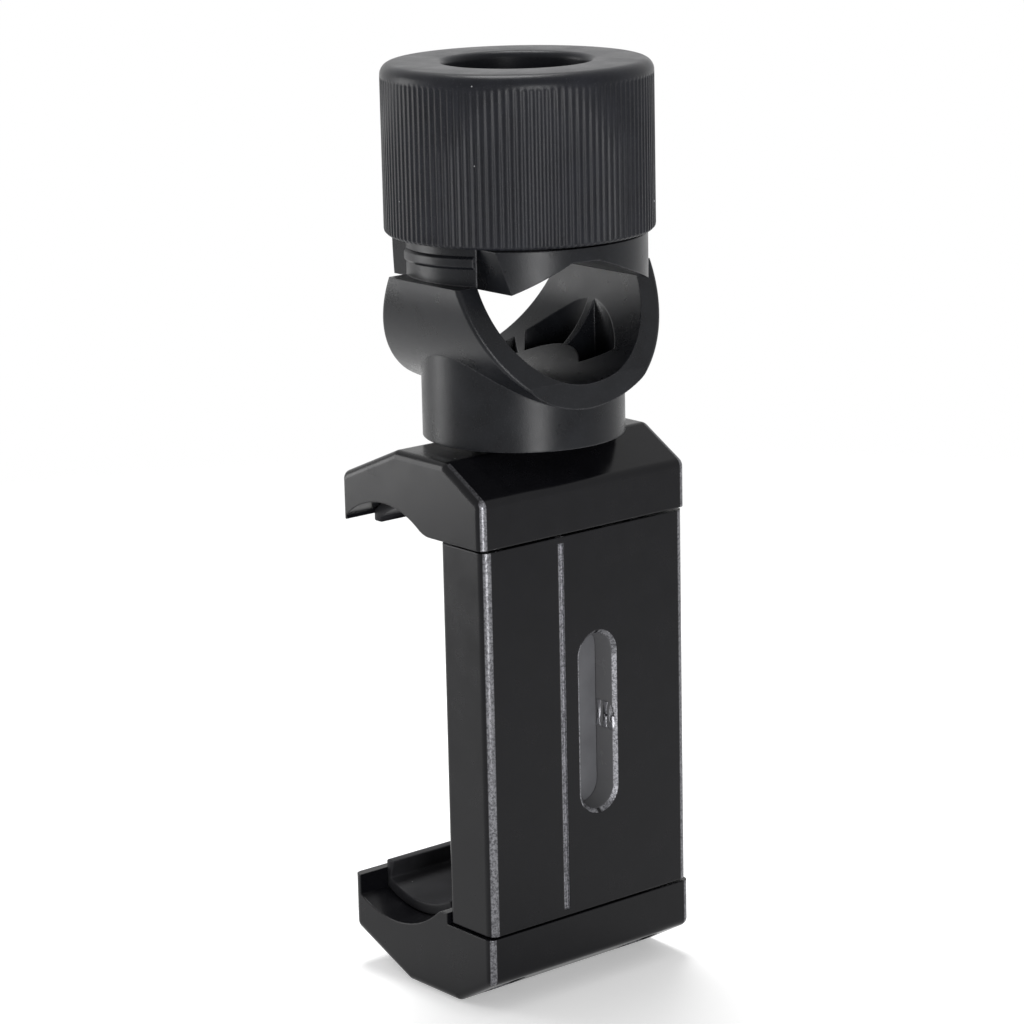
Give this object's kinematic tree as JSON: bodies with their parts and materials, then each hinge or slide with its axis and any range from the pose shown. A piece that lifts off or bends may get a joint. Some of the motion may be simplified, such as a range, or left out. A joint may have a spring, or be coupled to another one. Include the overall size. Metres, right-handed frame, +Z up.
{
  "type": "power bank clamp mount",
  "caption": "Sprung two-jaw clamp that holds a power bank or phone, hung by a swivel neck from a tube saddle closed by a ribbed ring knob.",
  "frame": {"origin": "on the tube axis at the middle of the half-round saddle", "axes": "+Z up along the knob's and neck's axis, tube along Y, device side +Y, slotted face -Y"},
  "size_m": [0.034, 0.034, 0.1182],
  "materials": {
    "moulded_black": "fine moulded grain",
    "knob_black": "fine moulded ribs",
    "clamp_black": "smooth black anodised",
    "plate_black": "satin black anodised",
    "black_steel": "black oxide",
    "bright_steel": "ground steel",
    "spring_steel": "drawn wire",
    "washer_black": "plain nylon",
    "guide_plastic": "plain moulded",
    "pad_rubber": "matt rubber"
  },
  "bodies": {
    "mount_body": {"yoke": "moulded_black", "mount_screw": "black_steel"},
    "press": {"press_block": "moulded_black"},
    "knob": {"knob": "knob_black"},
    "carriage": {"neck_washer": "washer_black", "top_jaw": "clamp_black", "top_pad": "pad_rubber", "slider_plate": "plate_black", "plate_pins": "bright_steel", "guide_rod_left": "bright_steel", "guide_rod_right": "bright_steel", "rod_stop_left": "bright_steel", "rod_stop_right": "bright_steel", "spring_left": "spring_steel", "spring_right": "spring_steel"},
    "clamp": {"clamp_body": "clamp_black", "guide_plate": "guide_plastic", "back_pad": "pad_rubber", "bottom_jaw": "clamp_black", "bottom_pad": "pad_rubber", "jaw_screws": "black_steel"}
  },
  "joints": [
    {"name": "press_slide", "type": "slide", "parent": "mount_body", "child": "press", "axis": [0, 0, 1], "range_m": [-0.003, 0.0105]},
    {"name": "knob_turn", "type": "hinge", "parent": "press", "child": "knob", "pos_m": [0, 0, 0], "axis": [0, 0, 1], "range_deg": [-361, 1261]},
    {"name": "neck_swivel", "type": "hinge", "parent": "mount_body", "child": "carriage", "pos_m": [0, 0, -0.02067], "axis": [0, 0, 1], "continuous": true},
    {"name": "clamp_slide", "type": "slide", "parent": "carriage", "child": "clamp", "axis": [0, 0, -1], "range_m": [0, 0.03], "stiffness_N_per_m": 150, "springref_m": -0.025, "deforming": ["spring_left", "spring_right"]}
  ],
  "couplings": [
    {"joint": "knob_turn", "follows": "press_slide", "rad_per_m": 2094.4}
  ]
}
